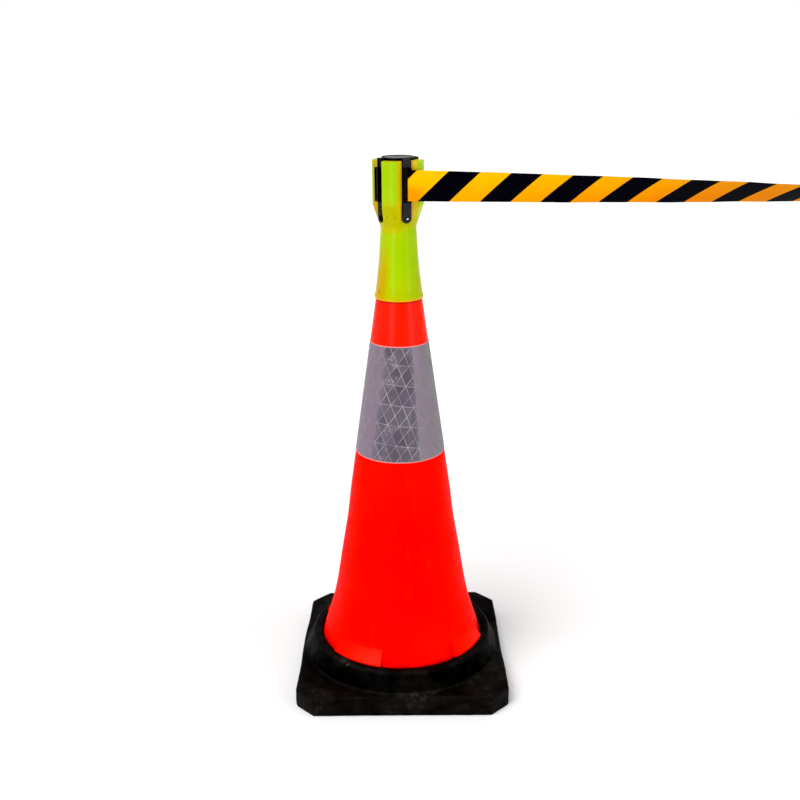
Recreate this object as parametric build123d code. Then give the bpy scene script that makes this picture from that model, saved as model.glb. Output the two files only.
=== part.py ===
from build123d import *
import math
import os

# Cone topper belt barrier: a weighted traffic cone that carries a turning head
# with a retractable belt cassette.  Millimetres, Z up, origin on the floor in
# the middle of the rubber base.  Azimuths are measured from -Y towards +X.

# ---------------------------------------------------------------- dimensions
# rubber base
BASE_W = 360.0          # across flats
BASE_CHAMFER = 32.0     # corner cut
PLATE_H = 36.0
PLATE_EDGE_R = 5.0
RING_R_FOOT = 173.0     # raised collar, outer radius where it meets the plate
RING_R_TOP = 157.5      # outer radius at its top
RING_TOP_Z = 70.0
RING_LIP_R = 3.0
BASE_RECESS_R = 169.0   # underside recess for the cone's flange
BASE_RECESS_H = 11.0

# cone
CONE_REF_Z, CONE_REF_R, CONE_SLOPE = 607.7, 48.26, 0.143
CONE_TIP_Z = 748.0
CONE_WALL = 2.8
CONE_FLANGE_R = 167.5
CONE_FLANGE_Z = (5.0, 10.5)
CONE_TIP_HOLE_R = 19.0
LUGS = ((-33.4, 38.2), (56.2, 34.0), (145.5, 36.0), (231.0, 36.0))  # azimuth, share of the rim
LUG_Z0, LUG_Z1, LUG_REACH = 71.0, 95.5, 147.5

# reflective collar
COLLAR_Z0, COLLAR_Z1, COLLAR_T = 415.7, 607.7, 0.7

# topper housing
LIP_Z = 679.8
LIP_R = 40.3
SEAT_Z = 751.0          # underside of the inner diaphragm
DIAPHRAGM_T = 3.0
NECK_R, NECK_Z = 29.2, 797.0  # narrowest place, where the lobes' taper ends
FLOOR_Z0, FLOOR_Z1 = 793.0, 797.5
HEAD_TOP_Z = 901.0
TOP_PLATE_T = 2.6
LOBE_R = 41.5
LOBE_HALF_ANGLE = 19.5
GROOVE_R = 29.9         # floor of the four grooves
GROOVE_HALF_W = 8.2
BORE_R = 27.9

# cassette
ARM_AZ = 24.7           # azimuth of the arm that the belt leaves from
ARM_W = 15.4
ARM_R0, ARM_R1 = 30.0, 32.6
ARM_TOP_Z = 904.4
ARM_END_Z = 812.0       # centre of the rounded lower end
SCREW_Z = 811.7
BLOCK_W = 14.0          # outlet and receiver blocks
BLOCK_R1 = 38.6
BLOCK_Z0, BLOCK_Z1 = 837.5, 890.5
CAN_R1, CAN_R0 = 27.3, 25.3
CAN_Z0, CAN_Z1 = 797.7, 895.3
CAN_SCREW_R = 22.9

# belt
BELT_W = 48.0
BELT_T = 0.5
BELT_Z = 864.0          # middle of the belt where it leaves the head
ROLL_R = 16.7
HUB_R = 8.0
LIP_BEND_R = 3.3        # belt centreline round the outlet's lip
RUN_BACK_DEG = 11.75    # the run is turned this far back from +X
RUN_DROP_DEG = 2.87     # and falls this much
TWIST_RATE = 0.0721     # degrees of twist for each millimetre of the run
CLIP_S = 695.0          # distance from the bend to the clip along the run
CLIP_IN = 13.0          # belt inside the clip

OUT = "parts"
os.makedirs(OUT, exist_ok=True)


# ------------------------------------------------------------------- helpers
def at(radius, azimuth, z=0.0):
    a = math.radians(azimuth)
    return (radius * math.sin(a), -radius * math.cos(a), z)


def box(x0, x1, y0, y1, z0, z1):
    return Pos((x0 + x1) / 2, (y0 + y1) / 2, (z0 + z1) / 2) * Box(
        x1 - x0, y1 - y0, z1 - z0
    )


def block(t0, t1, r0, r1, z0, z1):
    """A box on the front (-Y) side: t across, r outwards."""
    return box(t0, t1, -r1, -r0, z0, z1)


def turned(shape, azimuth):
    return Rot(0, 0, azimuth) * shape


def cyl(radius, z0, z1, x=0.0, y=0.0):
    return Pos(x, y, (z0 + z1) / 2) * Cylinder(radius, z1 - z0)


def tube(r0, r1, z0, z1):
    return cyl(r1, z0, z1) - cyl(r0, z0 - 1, z1 + 1)


def radial_cyl(radius, r0, r1, z, t=0.0):
    """A cylinder on the front (-Y) side whose axis points outwards."""
    return Pos(t, -(r0 + r1) / 2, z) * Rot(90, 0, 0) * Cylinder(radius, r1 - r0)


def turn_profile(points):
    """Revolve a closed polygon of (radius, z) points."""
    face = make_face(Polyline([(r, 0, z) for r, z in points], close=True))
    return revolve(face, axis=Axis.Z)


def sector(half_deg, z0, z1):
    """A wedge of cake on the front (-Y) side, its point on the axis."""
    a, b = at(260.0, -half_deg, z0), at(260.0, half_deg, z0)
    face = make_face(Polyline([(0, 0, z0), a, b], close=True))
    return extrude(face, amount=z1 - z0, dir=(0, 0, 1))


def cone_r(z):
    return CONE_REF_R - CONE_SLOPE * (z - CONE_REF_Z)


def solid(shape):
    """The shape as one solid where it is one."""
    found = shape.solids()
    return found[0] if len(found) == 1 else Compound(children=list(found))


def save(shape, name):
    shape = solid(shape)
    shape.label = name
    export_step(shape, f"{OUT}/{name}.step")


# --------------------------------------------------------------- rubber base
def lower_cone_points():
    """Outer line of the cone from its flange up to where it is straight."""
    return [
        (154.0, 10.5),
        (141.0, 66.0),
        (129.7, 103.0),
        (119.5, 138.0),
        (111.2, 180.0),
        (104.7, 220.0),
        (98.6, 256.0),
        (91.5, 298.0),
        (cone_r(345.0), 345.0),
    ]


def make_rubber_base():
    h, c = BASE_W / 2, BASE_CHAMFER
    octagon = make_face(
        Polyline(
            [
                (-h + c, -h),
                (h - c, -h),
                (h, -h + c),
                (h, h - c),
                (h - c, h),
                (-h + c, h),
                (-h, h - c),
                (-h, -h + c),
            ],
            close=True,
        )
    )
    plate = extrude(octagon, PLATE_H)
    upright = plate.edges().filter_by(Axis.Z)
    plate = fillet(upright, 4.0)
    top = plate.edges().filter_by(lambda e: abs(e.center().Z - PLATE_H) < 1e-6)
    plate = fillet(top, PLATE_EDGE_R)
    ring = turn_profile(
        [
            (0, PLATE_H - 12),
            (RING_R_FOOT, PLATE_H - 12),
            (RING_R_FOOT, PLATE_H + 1.0),
            (RING_R_FOOT - 2.5, PLATE_H + 6.0),
            (RING_R_TOP, RING_TOP_Z),
            (0, RING_TOP_Z),
        ]
    )
    rim = [
        e
        for e in ring.edges()
        if abs(e.center().Z - RING_TOP_Z) < 1e-6 and e.length > 100
    ]
    ring = fillet(rim, RING_LIP_R + 1.0)
    base = plate + ring
    hole = turn_profile(
        [
            (0, -1),
            (BASE_RECESS_R, -1),
            (BASE_RECESS_R, BASE_RECESS_H),
            (154.6, BASE_RECESS_H),
            (141.8, 66.0),
            (141.8 + 2.2, RING_TOP_Z + 1),
            (0, RING_TOP_Z + 1),
        ]
    )
    base = base - hole
    # shallow relief pockets in the underside leave a border and eight feet
    for k in range(8):
        az = 22.5 + 45 * k
        pocket = turned(block(-26, 26, 172.2, 175.2, -1, 4.0), az)
        base = base - pocket
    return base


# ----------------------------------------------------------------- cone body
def cone_outline():
    """Outer radius line, flange to tip, straight above 345 mm."""
    return lower_cone_points() + [
        (cone_r(360.0), 360.0),
        (cone_r(CONE_TIP_Z - 2.0), CONE_TIP_Z - 2.0),
    ]


def cone_solid(grow, z0, z1):
    """The cone's outer body, grown outwards, between two heights."""
    line = cone_outline()
    low = [p for p in line if p[1] <= 350]
    with BuildSketch(Plane.XZ) as sk:
        with BuildLine():
            pts = [(r + grow, z) for r, z in low]
            curve = Spline(
                pts[1:],
                tangents=[(pts[1][0] - pts[0][0], pts[1][1] - pts[0][1]), (-CONE_SLOPE, 1)],
            )
            straight = Line(curve @ 1, (cone_r(z1) + grow, z1))
            bottom_r = pts[0][0] + (pts[0][0] - pts[1][0]) / (pts[1][1] - pts[0][1]) * (
                pts[0][1] - z0
            )
            foot = Line((bottom_r, z0), curve @ 0)
            Polyline([(cone_r(z1) + grow, z1), (0, z1), (0, z0), (bottom_r, z0)])
        make_face()
    return revolve(sk.sketch, axis=Axis.Z)


def make_cone_body():
    outer = cone_solid(0.0, CONE_FLANGE_Z[0], CONE_TIP_Z)
    tip_edge = [
        e
        for e in outer.edges()
        if abs(e.center().Z - CONE_TIP_Z) < 1e-6 and e.length > 20
    ]
    outer = fillet(tip_edge, 2.0)
    inner = cone_solid(-CONE_WALL, CONE_FLANGE_Z[0] - 3.0, CONE_TIP_Z - CONE_WALL)
    body = outer + tube(140.0, CONE_FLANGE_R, *CONE_FLANGE_Z)
    # locking lugs: wedges that grow out of the flare and hook over the rubber ring
    wedge = turn_profile(
        [
            (120.0, LUG_Z0),
            (LUG_REACH, LUG_Z0),
            (LUG_REACH, LUG_Z0 + 2.2),
            (132.5, LUG_Z1),
            (120.0, LUG_Z1),
        ]
    )
    for az, share in LUGS:
        body = body + (wedge & turned(sector(share / 2, LUG_Z0 - 1, LUG_Z1 + 1), az))
    body = body - inner
    body = body - cyl(CONE_TIP_HOLE_R, CONE_TIP_Z - 10, CONE_TIP_Z + 1)
    return body


def make_collar():
    gap = 0.05
    return turn_profile(
        [
            (cone_r(COLLAR_Z0) + gap, COLLAR_Z0),
            (cone_r(COLLAR_Z0) + gap + COLLAR_T, COLLAR_Z0),
            (cone_r(COLLAR_Z1) + gap + COLLAR_T, COLLAR_Z1),
            (cone_r(COLLAR_Z1) + gap, COLLAR_Z1),
        ]
    )


# ------------------------------------------------------------------- housing
def clover(r_lobe, r_floor, half_w, half_angle, round_out, round_in):
    """Cross-section of the head: four lobes with a groove at each arm."""
    a0 = math.degrees(math.asin(half_w / r_floor))
    with BuildSketch() as sk:
        with BuildLine():
            for k in range(4):
                a = ARM_AZ + 90 * k
                p0, pm, p1 = (at(r_floor, x)[:2] for x in (a - a0, a, a + a0))
                q0, qm, q1 = (
                    at(r_lobe, a + 45 + d)[:2] for d in (-half_angle, 0, half_angle)
                )
                ThreePointArc(p0, pm, p1)
                Line(p1, q0)
                ThreePointArc(q0, qm, q1)
                Line(q1, at(r_floor, a + 90 - a0)[:2])
        make_face()
        mid = (r_lobe + r_floor) / 2
        fillet([v for v in sk.vertices() if math.hypot(v.X, v.Y) > mid], round_out)
        fillet([v for v in sk.vertices() if math.hypot(v.X, v.Y) <= mid - 3], round_in)
    return sk.sketch


def head_envelope(shrink, z0, z1):
    """Body of revolution that tapers the lobes into the neck."""
    with BuildSketch(Plane.XZ) as sk:
        with BuildLine():
            line = Polyline(
                [
                    (0, z0),
                    (NECK_R - shrink, z0),
                    (NECK_R - shrink, NECK_Z),
                    (43.3 - shrink, 838.0 + shrink * 0.4),
                    (60, 838.0 + shrink * 0.4),
                    (60, z1),
                    (0, z1),
                ],
                close=True,
            )
        make_face()
        bends = [
            v
            for v in sk.vertices()
            if abs(v.Y - NECK_Z) < 1e-6 and abs(v.X - (NECK_R - shrink)) < 1e-6
        ]
        fillet(bends, 14.0)
    return revolve(sk.sketch, axis=Axis.Z)


def make_housing():
    head = extrude(
        Pos(0, 0, 785.0)
        * clover(LOBE_R, GROOVE_R, GROOVE_HALF_W, LOBE_HALF_ANGLE, 5.0, 1.0),
        HEAD_TOP_Z - 785.0,
    )
    top = head.edges().filter_by(lambda e: abs(e.center().Z - HEAD_TOP_Z) < 1e-6)
    head = fillet(top, 0.9)
    head = head & head_envelope(0.0, 785.0, HEAD_TOP_Z + 5)
    # skirt and neck
    clear = 0.36
    with BuildSketch(Plane.XZ) as sk:
        with BuildLine():
            outer = Spline(
                [
                    (38.55, 689.5),
                    (36.85, 703.0),
                    (33.75, 729.0),
                    (31.5, 756.0),
                    (29.9, 781.0),
                    (NECK_R, 796.0),
                ],
                tangents=[(-0.135, 1), (-0.0, 1)],
            )
            Polyline(
                [
                    (NECK_R, 796.0),
                    (0, 796.0),
                    (0, SEAT_Z),
                    (cone_r(744.0) + clear, SEAT_Z),
                    (cone_r(744.0) + clear, 744.0),
                    (cone_r(LIP_Z) + clear, LIP_Z),
                    (LIP_R - 0.6, LIP_Z),
                    (LIP_R, LIP_Z + 0.6),
                    (LIP_R - 0.15, LIP_Z + 5.0),
                    (38.55, 689.5),
                ]
            )
        make_face()
    neck = revolve(sk.sketch, axis=Axis.Z)
    body = head + neck
    # space for the cassette, following the lobes
    space = extrude(
        Pos(0, 0, FLOOR_Z1) * clover(LOBE_R - 2.4, BORE_R, 9.0, 17.2, 3.0, 1.0),
        HEAD_TOP_Z - TOP_PLATE_T - FLOOR_Z1,
    )
    space = space & head_envelope(2.4, 790.0, HEAD_TOP_Z + 5)
    body = body - space
    body = body - cyl(CAN_R1 + 0.3, FLOOR_Z1, HEAD_TOP_Z + 1)
    # hollow neck between diaphragm and floor, with core holes
    neck_space = turn_profile(
        [
            (0, SEAT_Z + DIAPHRAGM_T),
            (28.9, SEAT_Z + DIAPHRAGM_T),
            (26.9, FLOOR_Z0),
            (0, FLOOR_Z0),
        ]
    )
    body = body - neck_space
    body = body - cyl(14.0, SEAT_Z - 1, FLOOR_Z1 + 1)
    # pilot holes for the arm screws
    for k in range(4):
        body = body - turned(radial_cyl(1.5, 27.0, 31.0, SCREW_Z), ARM_AZ + 90 * k)
    # pairs of moulded dimples under each lobe
    for k in range(4):
        for d in (-12.0, 12.0):
            body = body - turned(
                radial_cyl(1.25, 33.4, 38.0, 813.5), ARM_AZ + 45 + 90 * k + d
            )
    # passage for the belt
    body = body - lead_slot(1.1, 1.1, 12.0, 40.0, 838.8, 889.2)
    # two tie slots in the skirt
    for az in (-57.0, 123.0):
        body = body - turned(block(-1.1, 1.1, 33.0, 42.0, 690.5, 696.5), az)
    return body


# -------------------------------------------------------------- belt geometry
N_ARM = at(1.0, ARM_AZ)[:2]
T_ARM = (math.cos(math.radians(ARM_AZ)), math.sin(math.radians(ARM_AZ)))
LEAD_R = ROLL_R + 0.35 + BELT_T / 2          # the lead is tangent to this circle
LEAD_CROSS_R = 38.0                          # where it crosses the arm's middle
LEAD_AZ0 = ARM_AZ - math.degrees(math.acos(LEAD_R / LEAD_CROSS_R))
LEAD_T = at(LEAD_R, LEAD_AZ0)[:2]
D1 = at(1.0, LEAD_AZ0 + 90)[:2]
M1 = at(1.0, LEAD_AZ0 + 180)[:2]             # to the right of the lead
_b = math.radians(RUN_BACK_DEG)
D2 = (math.cos(_b), math.sin(_b))
M2 = (-math.sin(_b), math.cos(_b))           # behind the run
TAN_DROP = math.tan(math.radians(RUN_DROP_DEG))
RUN_START = 0.4                              # where the run meets the lead


def add2(p, d, s):
    return (p[0] + d[0] * s, p[1] + d[1] * s)


def dot2(a, b):
    return a[0] * b[0] + a[1] * b[1]


_s_bend = (39.6 - dot2(N_ARM, LEAD_T)) / dot2(N_ARM, D1)
BEND_V = add2(LEAD_T, D1, _s_bend)
_turn = math.radians(90 + RUN_BACK_DEG - (LEAD_AZ0 + 90))
BEND_LEN = LIP_BEND_R * math.tan(_turn / 2)
BEND_C = add2(add2(BEND_V, D1, -BEND_LEN), M1, LIP_BEND_R)
RUN_0 = add2(BEND_V, D2, BEND_LEN)


def lead_slot(right, left, s0, s1, z0, z1):
    """A box along the lead, from s0 to s1, with its sides right and left of it."""
    local = box(s0, s1, -right, left, z0, z1)
    frame = Plane(origin=(LEAD_T[0], LEAD_T[1], 0), x_dir=(D1[0], D1[1], 0), z_dir=(0, 0, 1))
    return frame.location * local


def make_belt_lead():
    path = FilletPolyline(
        [
            (LEAD_T[0], LEAD_T[1], BELT_Z),
            (BEND_V[0], BEND_V[1], BELT_Z),
            (RUN_0[0] + D2[0] * RUN_START, RUN_0[1] + D2[1] * RUN_START, BELT_Z),
        ],
        radius=LIP_BEND_R,
    )
    section = Plane(
        origin=(LEAD_T[0], LEAD_T[1], BELT_Z),
        x_dir=(M1[0], M1[1], 0),
        z_dir=(D1[0], D1[1], 0),
    ) * Rectangle(BELT_T, BELT_W)
    return sweep(section, path=path)


def run_section(s):
    """Cross-section of the belt, s along the run; its top leans forward with the twist."""
    into = CLIP_S - BEND_LEN
    place = Plane(
        origin=(
            RUN_0[0] + D2[0] * s,
            RUN_0[1] + D2[1] * s,
            BELT_Z - (s - RUN_START) * TAN_DROP,
        ),
        x_dir=(M2[0], M2[1], 0),
        z_dir=(D2[0], D2[1], 0),
    )
    return place * Rot(0, 0, TWIST_RATE * min(s, into)) * Rectangle(BELT_T, BELT_W)


def make_belt_run():
    into = CLIP_S - BEND_LEN
    count = 12
    stations = [RUN_START + (into - RUN_START) * k / count for k in range(count + 1)]
    stations.append(into + CLIP_IN)
    return loft([run_section(s) for s in stations], ruled=True)


# ------------------------------------------------------------------ cassette
def make_frame():
    body = cyl(26.0, 901.2, ARM_TOP_Z)
    plug = tube(20.0, CAN_R1, 895.5, 901.2) + cyl(20.5, 898.6, 901.2) + cyl(6.5, 895.5, 901.2)
    body = body + plug
    for k in range(4):
        half = ARM_W / 2
        with BuildSketch(Plane.XZ.offset(ARM_R0)) as sk:
            with BuildLine():
                Polyline(
                    [(-half, ARM_END_Z), (-half, ARM_TOP_Z), (half, ARM_TOP_Z), (half, ARM_END_Z)]
                )
                ThreePointArc((half, ARM_END_Z), (0, ARM_END_Z - half), (-half, ARM_END_Z))
            make_face()
        arm = extrude(sk.sketch, ARM_R1 - ARM_R0)
        front = arm.edges().filter_by(lambda e: abs(e.center().Y + ARM_R1) < 1e-6)
        arm = fillet(front, 0.7)
        arm = arm + block(-half, half, 18.0, ARM_R1 - 0.8, 901.2, ARM_TOP_Z)
        # raised boss round the screw and two small ribs above it
        arm = arm + radial_cyl(4.6, ARM_R1 - 0.5, ARM_R1 + 0.7, SCREW_Z)
        for z in (822.0, 827.0):
            arm = arm + block(-4.2, 4.2, ARM_R1 - 0.5, ARM_R1 + 0.9, z, z + 1.8)
        arm = arm - radial_cyl(1.75, ARM_R0 - 1, ARM_R1 + 3, SCREW_Z)
        if k:
            arm = arm - block(-5.4, 5.4, 31.2, ARM_R1 + 2, 841.0, ARM_TOP_Z + 1)
        body = body + turned(arm, ARM_AZ + 90 * k)
    body = body - lead_slot(1.1, 1.1, 20.0, 45.0, 838.8, 889.2)
    body = body - cyl(3.05, 895.0, 899.4)
    for az in (90.0, 180.0, 270.0):
        x, y, _ = at(CAN_SCREW_R, az)
        body = body - cyl(1.6, 894.0, 906.0, x, y) - cyl(2.5, 902.0, 906.0, x, y)
    return body


def make_can():
    body = cyl(CAN_R1, CAN_Z0, CAN_Z1) - cyl(CAN_R0, CAN_Z0 + 2.5, CAN_Z1 + 1)
    for az in (90.0, 180.0, 270.0):
        x, y, _ = at(CAN_SCREW_R, az)
        boss = cyl(2.2, 878.0, CAN_Z1, x, y)
        boss = boss + turned(block(-1.5, 1.5, CAN_SCREW_R, CAN_R0 + 0.6, 878.0, CAN_Z1), az)
        body = body + boss - cyl(1.45, 880.0, CAN_Z1 + 1, x, y)
    body = body - cyl(3.02, CAN_Z0 - 1, CAN_Z0 + 4)
    body = body - lead_slot(1.1, 1.1, 5.0, 45.0, 838.8, 889.2)
    return body


def make_cap():
    """A flat cover, dished inside a low rim."""
    radius, rim_z, floor_z = 26.3, 905.8, 904.95
    return turn_profile(
        [
            (0, ARM_TOP_Z),
            (radius, ARM_TOP_Z),
            (radius, rim_z - 0.4),
            (radius - 0.4, rim_z),
            (radius - 0.9, rim_z),
            (radius - 1.15, rim_z - 0.2),
            (radius - 1.25, floor_z),
            (0, floor_z),
        ]
    )


def make_mouth():
    body = block(-BLOCK_W / 2, BLOCK_W / 2, ARM_R1, 37.4, BLOCK_Z0, BLOCK_Z1)
    upright = body.edges().filter_by(Axis.Z).filter_by(lambda e: e.center().Y < -36)
    body = fillet(upright, 1.6)
    body = turned(body, ARM_AZ)
    body = body + cyl(LIP_BEND_R - 0.3, BLOCK_Z0, BLOCK_Z1, *BEND_C)
    left = add2(add2(BEND_V, D1, -BEND_LEN - 3.2), M1, -3.2)
    body = body + cyl(1.6, BLOCK_Z0, BLOCK_Z1, *left)
    right = 0.28
    body = body - lead_slot(right, 1.6, 5.0, _s_bend - BEND_LEN, 839.2, 888.8)
    body = body - lead_slot(right, 1.6, _s_bend - BEND_LEN - 0.5, _s_bend + 8, BLOCK_Z0 + 1.7, BLOCK_Z1 - 1.7)
    return body


def make_receiver():
    body = block(-BLOCK_W / 2, BLOCK_W / 2, 31.2, BLOCK_R1, BLOCK_Z0, BLOCK_Z1)
    body = body - block(-BLOCK_W, BLOCK_W, 31.0, ARM_R1, BLOCK_Z0 - 1, 841.0)
    body = body - block(-BLOCK_W, -5.4, 31.0, ARM_R1, 840.0, BLOCK_Z1 + 1)
    body = body - block(5.4, BLOCK_W, 31.0, ARM_R1, 840.0, BLOCK_Z1 + 1)
    upright = body.edges().filter_by(Axis.Z).filter_by(
        lambda e: e.center().Y < -BLOCK_R1 + 0.5
    )
    body = fillet(upright, 1.4)
    body = body - block(-5.4, 5.4, 31.0, 37.1, 841.0, BLOCK_Z1 + 1)
    body = body - block(-2.6, 2.6, 36.0, 40.0, 841.0, BLOCK_Z1 + 1)
    return body


def make_arm_screws():
    found = []
    for k in range(4):
        head = radial_cyl(3.0, ARM_R1 + 0.7, ARM_R1 + 2.4, SCREW_Z)
        rim = [
            e
            for e in head.edges()
            if abs(e.center().Y + ARM_R1 + 2.4) < 1e-6 and e.length > 15
        ]
        head = fillet(rim, 1.2)
        screw = head + radial_cyl(1.4, 27.8, ARM_R1 + 1.0, SCREW_Z)
        for w, h in ((3.4, 0.9), (0.9, 3.4)):
            screw = screw - block(
                -w / 2, w / 2, ARM_R1 + 1.5, ARM_R1 + 3, SCREW_Z - h / 2, SCREW_Z + h / 2
            )
        found.append(turned(screw, ARM_AZ + 90 * k))
    return Compound(children=[solid(s) for s in found])


def make_can_screws():
    found = []
    for az in (90.0, 180.0, 270.0):
        x, y, _ = at(CAN_SCREW_R, az)
        screw = cyl(2.3, 902.0, 903.9, x, y) + cyl(1.4, 884.0, 902.5, x, y)
        screw = screw - box(x - 1.6, x + 1.6, y - 0.4, y + 0.4, 903.1, 905)
        found.append(screw)
    return Compound(children=[solid(s) for s in found])


# -------------------------------------------------------- spool and mainspring
def make_mainspring():
    """Flat spiral made of half rings whose centres alternate."""
    r0, pitch, t, halves = 6.2, 1.9, 0.5, 15
    z0, z1 = 810.0, 834.0
    body = None
    for k in range(halves):
        radius = r0 + k * pitch / 2
        up = k % 2 == 0
        cx = 0.0 if up else pitch / 2
        ring = Pos(cx, 0, 0) * tube(radius - t / 2, radius + t / 2, z0, z1)
        half = box(-40, 40, 0 if up else -40, 40 if up else 0, z0 - 1, z1 + 1)
        piece = ring & half
        body = piece if body is None else body + piece
    # inner tail towards the arbor
    body = body + box(5.45, r0 + t / 2, -t, 0, z0, z1)
    return body


def make_spool():
    hub = tube(4.95, HUB_R, 838.6, 889.6)
    lower = tube(4.95, 20.0, 836.8, 838.6)
    upper = tube(4.95, 20.0, 889.6, 891.4)
    cup = tube(20.4, 22.0, 808.0, 836.8) + tube(14.0, 22.0, 835.2, 836.8)
    return hub, lower, upper, cup


# ------------------------------------------------------------------- belt clip
def clip_place(shape):
    p = add2(BEND_V, D2, CLIP_S)
    z = BELT_Z - (CLIP_S - BEND_LEN - RUN_START) * TAN_DROP
    g = math.radians(RUN_DROP_DEG)
    frame = Plane(
        origin=(p[0], p[1], z),
        x_dir=(D2[0] * math.cos(g), D2[1] * math.cos(g), -math.sin(g)),
        z_dir=(D2[0] * math.sin(g), D2[1] * math.sin(g), math.cos(g)),
    )
    return frame.location * Rot(TWIST_RATE * (CLIP_S - BEND_LEN), 0, 0) * shape


CLIP_L, CLIP_T, CLIP_H = 23.0, 9.0, 53.0


def make_clip():
    body = box(0, CLIP_L, -CLIP_T / 2, CLIP_T / 2, -CLIP_H / 2, CLIP_H / 2)
    body = fillet(body.edges().filter_by(Axis.X), 2.0)
    body = body + box(CLIP_L - 1, CLIP_L + 3.6, -1.8, 1.8, -22, 22)
    bar = box(CLIP_L + 3.4, CLIP_L + 7.6, -4.7, 4.7, -22, 22)
    bar = fillet(bar.edges().filter_by(Axis.Z), 0.9)
    body = body + bar
    # pocket that the belt's end lies in, closed by the clamp plate
    body = body - box(-1, CLIP_IN + 1.6, -0.45, 0.45, -24.9, 24.9)
    body = body - box(2.0, CLIP_L - 2.0, -CLIP_T, -CLIP_T / 2 + 1.2, -20.0, 20.0)
    holes = [18.3]
    for z in (-15.0, 0.0, 15.0):
        body = body - Pos(holes[0], 0, z) * Rot(90, 0, 0) * Cylinder(1.6, 30)
    plate = box(2.1, CLIP_L - 2.1, -CLIP_T / 2 + 0.0, -CLIP_T / 2 + 1.2, -19.9, 19.9)
    plate = fillet(plate.edges().filter_by(Axis.Y), 1.5)
    rivets = []
    for z in (-15.0, 0.0, 15.0):
        plate = plate - Pos(holes[0], 0, z) * Rot(90, 0, 0) * Cylinder(1.6, 30)
        shank = Pos(holes[0], 0, z) * Rot(90, 0, 0) * Cylinder(1.55, CLIP_T)
        front = Pos(holes[0], -CLIP_T / 2 - 0.5, z) * Rot(90, 0, 0) * Cylinder(2.6, 1.0)
        back = Pos(holes[0], CLIP_T / 2 + 0.4, z) * Rot(90, 0, 0) * Cylinder(2.6, 0.8)
        rivets.append(solid(shank + front + back))
    return body, plate, rivets


# ------------------------------------------------------------------------ run
def main():
    save(make_rubber_base(), "rubber_base")
    save(make_cone_body(), "cone_body")
    save(make_collar(), "reflective_collar")
    save(tube(CONE_TIP_HOLE_R + 0.5, 25.6, CONE_TIP_Z, SEAT_Z), "seat_ring")
    save(make_housing(), "topper_housing")
    save(make_frame(), "cassette_frame")
    save(make_can(), "cassette_can")
    save(make_cap(), "top_cap")
    save(make_mouth(), "belt_mouth")
    receiver = make_receiver()
    for k, name in ((1, "receiver_right"), (2, "receiver_rear"), (3, "receiver_left")):
        save(turned(receiver, ARM_AZ + 90 * k), name)
    save(make_arm_screws(), "arm_screws")
    save(make_can_screws(), "can_screws")
    save(cyl(3.0, CAN_Z0, 899.2), "spindle")
    save(tube(3.02, 5.4, CAN_Z0 + 2.5, 835.4), "spring_arbor")
    save(make_mainspring(), "mainspring")
    save(tube(3.05, 7.0, 835.4, 836.4), "thrust_washer")
    save(tube(3.02, 6.0, 892.0, 892.9), "spindle_clip")
    hub, lower, upper, cup = make_spool()
    save(hub, "spool_hub")
    save(lower, "spool_flange_lower")
    save(upper, "spool_flange_upper")
    save(cup, "spring_cup")
    save(tube(3.06, 4.93, 836.8, 846.0), "bush_lower")
    save(tube(3.06, 4.93, 881.0, 891.4), "bush_upper")
    save(
        tube(HUB_R + 0.02, ROLL_R, BELT_Z - BELT_W / 2, BELT_Z + BELT_W / 2), "belt_roll"
    )
    save(make_belt_lead(), "belt_lead")
    save(make_belt_run(), "belt_run")
    body, plate, rivets = make_clip()
    save(clip_place(body), "clip_body")
    save(clip_place(plate), "clip_clamp")
    save(Compound(children=[clip_place(r) for r in rivets]), "clip_rivets")


main()
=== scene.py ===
import math

import bmesh
import bpy
import numpy as np
from mathutils import Matrix, Vector, noise


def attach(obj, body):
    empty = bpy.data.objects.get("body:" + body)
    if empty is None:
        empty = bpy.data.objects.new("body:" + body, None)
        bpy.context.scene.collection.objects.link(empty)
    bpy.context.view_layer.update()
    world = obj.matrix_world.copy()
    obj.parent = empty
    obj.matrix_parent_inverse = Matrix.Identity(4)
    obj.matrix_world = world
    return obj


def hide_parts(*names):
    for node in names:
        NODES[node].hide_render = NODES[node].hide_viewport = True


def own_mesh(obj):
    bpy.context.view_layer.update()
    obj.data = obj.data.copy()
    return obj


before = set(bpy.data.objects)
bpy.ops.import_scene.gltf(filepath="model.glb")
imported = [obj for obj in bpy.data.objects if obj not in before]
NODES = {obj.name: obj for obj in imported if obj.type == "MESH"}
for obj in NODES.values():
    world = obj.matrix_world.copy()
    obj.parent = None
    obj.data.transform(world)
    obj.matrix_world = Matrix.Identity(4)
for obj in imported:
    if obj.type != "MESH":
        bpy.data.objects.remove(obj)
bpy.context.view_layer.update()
SCENE = bpy.context.scene


# --------------------------------------------------------------------- camera
# The view of the reference: 1050 px focal length on an 800 px square frame.
def make_camera():
    data = bpy.data.cameras.new("camera")
    data.sensor_width = 36.0
    data.lens = 1050.0 / 800.0 * 36.0
    data.clip_start, data.clip_end = 0.05, 60.0
    data.dof.use_dof = False
    cam = bpy.data.objects.new("camera", data)
    SCENE.collection.objects.link(cam)
    turn = Matrix.Rotation(math.radians(90.0 - 18.366), 4, "X")
    roll = Matrix.Rotation(math.radians(-0.43), 4, "Z")
    cam.matrix_world = Matrix.Translation((0.0004, -1.6908, 1.0625)) @ turn @ roll
    SCENE.camera = cam


make_camera()


# -------------------------------------------------------------- belt geometry
# The same route as the model's belt, in metres.
ARM_AZ = 24.7
BELT_W, BELT_T, BELT_Z = 0.048, 0.0005, 0.864
ROLL_R, LIP_BEND_R = 0.0167, 0.0033
RUN_BACK, RUN_DROP = math.radians(11.75), math.radians(2.87)
TWIST_RATE = math.radians(0.0721) * 1000.0
CLIP_S, CLIP_IN = 0.695, 0.013
RUN_START = 0.0004


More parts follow.
